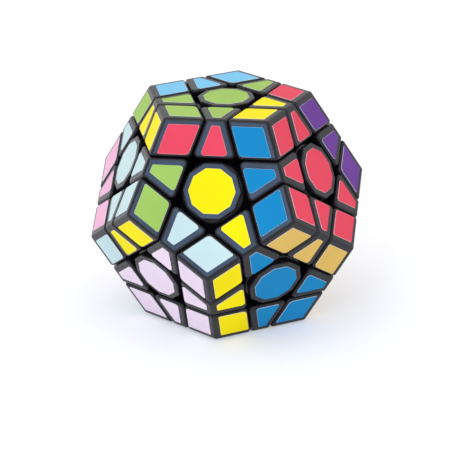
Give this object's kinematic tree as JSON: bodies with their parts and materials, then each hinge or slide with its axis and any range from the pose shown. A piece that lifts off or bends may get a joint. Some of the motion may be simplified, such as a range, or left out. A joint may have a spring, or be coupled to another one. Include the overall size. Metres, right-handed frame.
{
  "type": "dodecahedron twisty puzzle",
  "caption": "Dodecahedron twisty puzzle with stickered centres, edges and corners whose layers turn on a hidden round core.",
  "frame": {"origin": "middle of the round core, which is the middle of the whole puzzle", "axes": "+Z is the turning axis of the top face, square to the resting face; -Y is the side of the front face"},
  "size_m": [0.0808, 0.0848, 0.0694],
  "materials": {
    "black_plastic": "satin",
    "core_plastic": "satin",
    "steel": "satin",
    "sticker_light_green": "satin film",
    "sticker_yellow": "satin film",
    "sticker_coral_red": "satin film",
    "sticker_purple": "satin film",
    "sticker_sky_blue": "satin film",
    "sticker_pale_cyan": "satin film",
    "sticker_blue": "satin film",
    "sticker_lavender": "satin film",
    "sticker_gold": "satin film",
    "sticker_pink": "satin film",
    "sticker_orange": "satin film",
    "sticker_dark_green": "satin film"
  },
  "bodies": {
    "core": {"core_upper_half": "core_plastic", "core_lower_half": "core_plastic", "screws": "steel", "washers": "steel", "springs": "steel", "centres_lower_rear": "black_plastic", "edges_lower_rear": "black_plastic", "corners_lower_rear": "black_plastic", "centre_back_right": "black_plastic", "centre_left": "black_plastic", "centre_lower_right": "black_plastic", "edge_back_right_lower_back_right": "black_plastic", "edge_back_right_lower_back": "black_plastic", "edge_left_lower_back_left": "black_plastic", "edge_lower_right_lower_back_right": "black_plastic", "edge_lower_right_bottom": "black_plastic", "corner_back_right_lower_back_right_lower_back": "black_plastic", "corner_lower_right_lower_back_right_bottom": "black_plastic"},
    "centre_top": {"centre_top": "black_plastic", "edge_top_back_right": "black_plastic", "edge_top_left": "black_plastic"},
    "centre_front": {"centre_front": "black_plastic", "edge_front_left": "black_plastic", "edge_front_lower_right": "black_plastic"},
    "centre_right": {"centre_right": "black_plastic", "edge_right_back_right": "black_plastic", "edge_right_lower_right": "black_plastic", "edge_right_lower_back_right": "black_plastic", "corner_right_back_right_lower_back_right": "black_plastic", "corner_right_lower_right_lower_back_right": "black_plastic"},
    "centre_back_left": {"centre_back_left": "black_plastic", "edge_back_right_back_left": "black_plastic", "edge_back_left_left": "black_plastic", "edge_back_left_lower_back": "black_plastic", "edge_back_left_lower_back_left": "black_plastic", "corner_back_right_back_left_lower_back": "black_plastic", "corner_back_left_left_lower_back_left": "black_plastic", "corner_back_left_lower_back_lower_back_left": "black_plastic"},
    "centre_lower_left": {"centre_lower_left": "black_plastic", "edge_left_lower_left": "black_plastic", "edge_lower_right_lower_left": "black_plastic", "edge_lower_back_left_lower_left": "black_plastic", "edge_lower_left_bottom": "black_plastic", "corner_left_lower_back_left_lower_left": "black_plastic", "corner_lower_right_lower_left_bottom": "black_plastic", "corner_lower_back_left_lower_left_bottom": "black_plastic"},
    "edge_top_front": {"edge_top_front": "black_plastic", "corner_top_front_left": "black_plastic"},
    "edge_top_right": {"edge_top_right": "black_plastic", "corner_top_right_back_right": "black_plastic"},
    "edge_top_back_left": {"edge_top_back_left": "black_plastic", "corner_top_back_right_back_left": "black_plastic", "corner_top_back_left_left": "black_plastic"},
    "edge_front_right": {"edge_front_right": "black_plastic", "corner_front_right_lower_right": "black_plastic"},
    "edge_front_lower_left": {"edge_front_lower_left": "black_plastic", "corner_front_left_lower_left": "black_plastic", "corner_front_lower_right_lower_left": "black_plastic"},
    "corner_top_front_right": {"corner_top_front_right": "black_plastic"}
  },
  "joints": [
    {"name": "turn_top", "type": "hinge", "parent": "core", "child": "centre_top", "pos_m": [0, 0, 0], "axis": [0, 0, 1], "range_deg": [-360, 360]},
    {"name": "turn_front", "type": "hinge", "parent": "core", "child": "centre_front", "pos_m": [0, 0, 0], "axis": [0, -0.8944, 0.4472], "range_deg": [-360, 360]},
    {"name": "turn_right", "type": "hinge", "parent": "core", "child": "centre_right", "pos_m": [0, 0, 0], "axis": [0.8507, -0.2764, 0.4472], "continuous": true},
    {"name": "turn_back_left", "type": "hinge", "parent": "core", "child": "centre_back_left", "pos_m": [0, 0, 0], "axis": [-0.5257, 0.7236, 0.4472], "continuous": true},
    {"name": "turn_lower_left", "type": "hinge", "parent": "core", "child": "centre_lower_left", "pos_m": [0, 0, 0], "axis": [-0.5257, -0.7236, -0.4472], "continuous": true},
    {"name": "follow_edge_top_front", "type": "hinge", "parent": "centre_top", "child": "edge_top_front", "pos_m": [0, 0, 0], "axis": [0, -0.8944, 0.4472], "range_deg": [-360, 360]},
    {"name": "follow_edge_top_right", "type": "hinge", "parent": "centre_top", "child": "edge_top_right", "pos_m": [0, 0, 0], "axis": [0.8507, -0.2764, 0.4472], "continuous": true},
    {"name": "follow_edge_top_back_left", "type": "hinge", "parent": "centre_top", "child": "edge_top_back_left", "pos_m": [0, 0, 0], "axis": [-0.5257, 0.7236, 0.4472], "continuous": true},
    {"name": "follow_edge_front_right", "type": "hinge", "parent": "centre_front", "child": "edge_front_right", "pos_m": [0, 0, 0], "axis": [0.8507, -0.2764, 0.4472], "continuous": true},
    {"name": "follow_edge_front_lower_left", "type": "hinge", "parent": "centre_front", "child": "edge_front_lower_left", "pos_m": [0, 0, 0], "axis": [-0.5257, -0.7236, -0.4472], "continuous": true},
    {"name": "follow_corner_top_front_right", "type": "hinge", "parent": "edge_top_front", "child": "corner_top_front_right", "pos_m": [0, 0, 0], "axis": [0.8507, -0.2764, 0.4472], "continuous": true}
  ],
  "couplings": [
    {"joint": "follow_edge_top_front", "follows": "turn_front", "ratio": 1},
    {"joint": "follow_edge_top_right", "follows": "turn_right", "ratio": 1},
    {"joint": "follow_edge_top_back_left", "follows": "turn_back_left", "ratio": 1},
    {"joint": "follow_edge_front_right", "follows": "turn_right", "ratio": 1},
    {"joint": "follow_edge_front_lower_left", "follows": "turn_lower_left", "ratio": 1},
    {"joint": "follow_corner_top_front_right", "follows": "turn_right", "ratio": 1}
  ]
}
